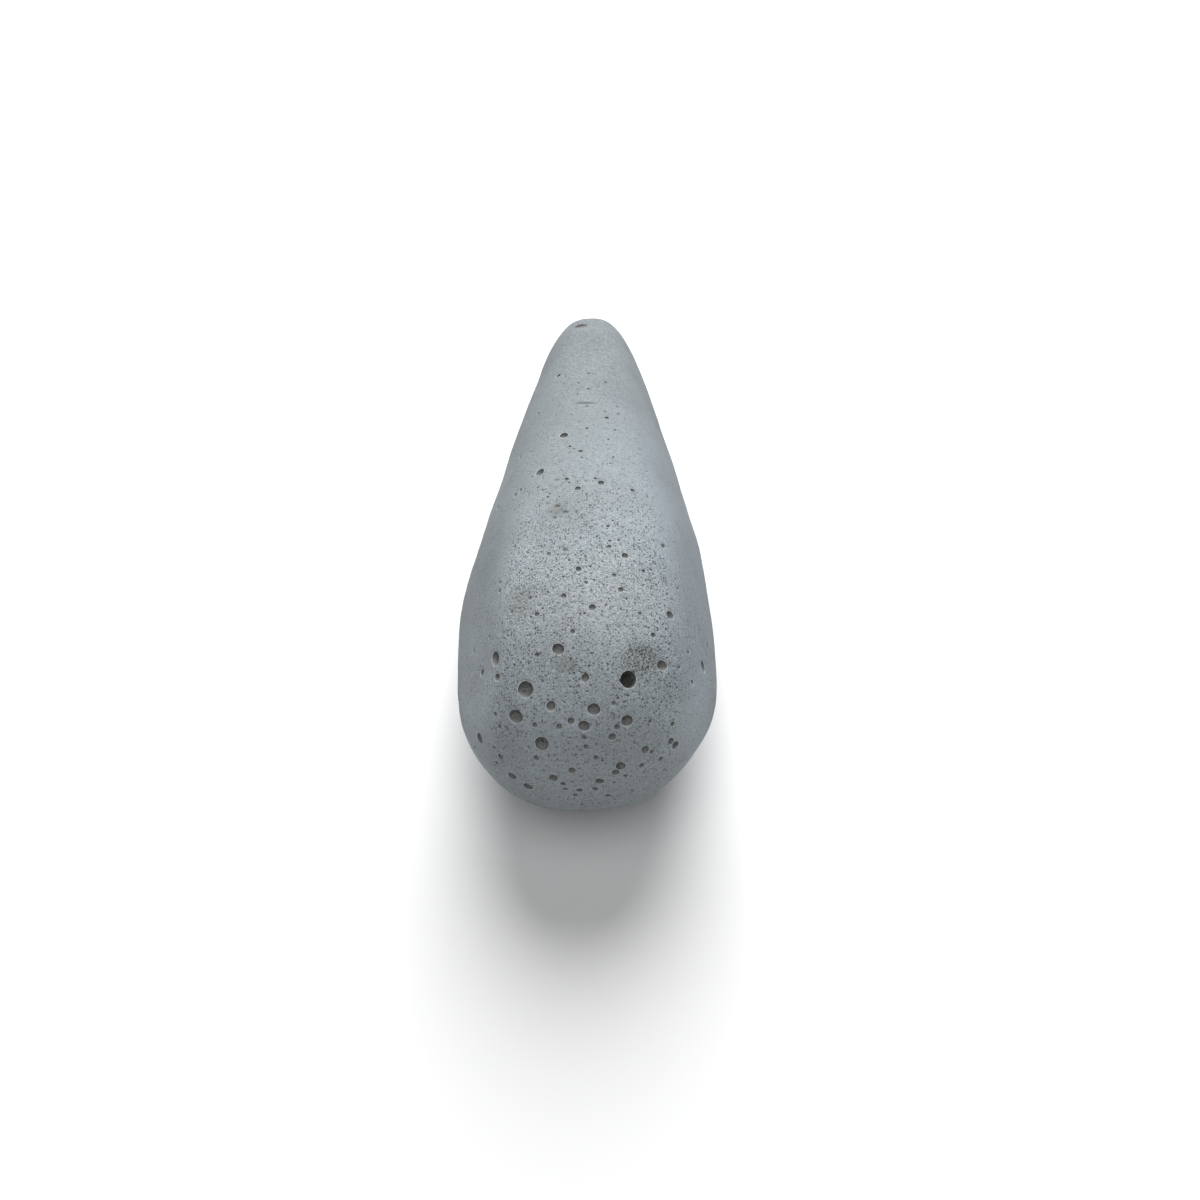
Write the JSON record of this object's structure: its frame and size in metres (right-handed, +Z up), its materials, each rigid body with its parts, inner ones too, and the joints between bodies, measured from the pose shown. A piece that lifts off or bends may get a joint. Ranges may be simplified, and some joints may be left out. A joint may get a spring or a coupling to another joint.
{
  "type": "pumice stone",
  "caption": "Tapered block of light volcanic stone, rough with gas pores, that rubs hard skin off feet and lies on a worn flat",
  "frame": {"origin": "on the surface that the stone lies on, below the middle of its bounding box", "axes": "+Z up from the flat that it lies on; +Y along the stone from its blunt end to its narrow tip; +X across it, to the right when the blunt end is nearest"},
  "size_m": [0.0472, 0.116, 0.0452],
  "materials": {
    "stone": "rough"
  },
  "bodies": {
    "root": {"pumice_stone": "stone"}
  },
  "joints": []
}
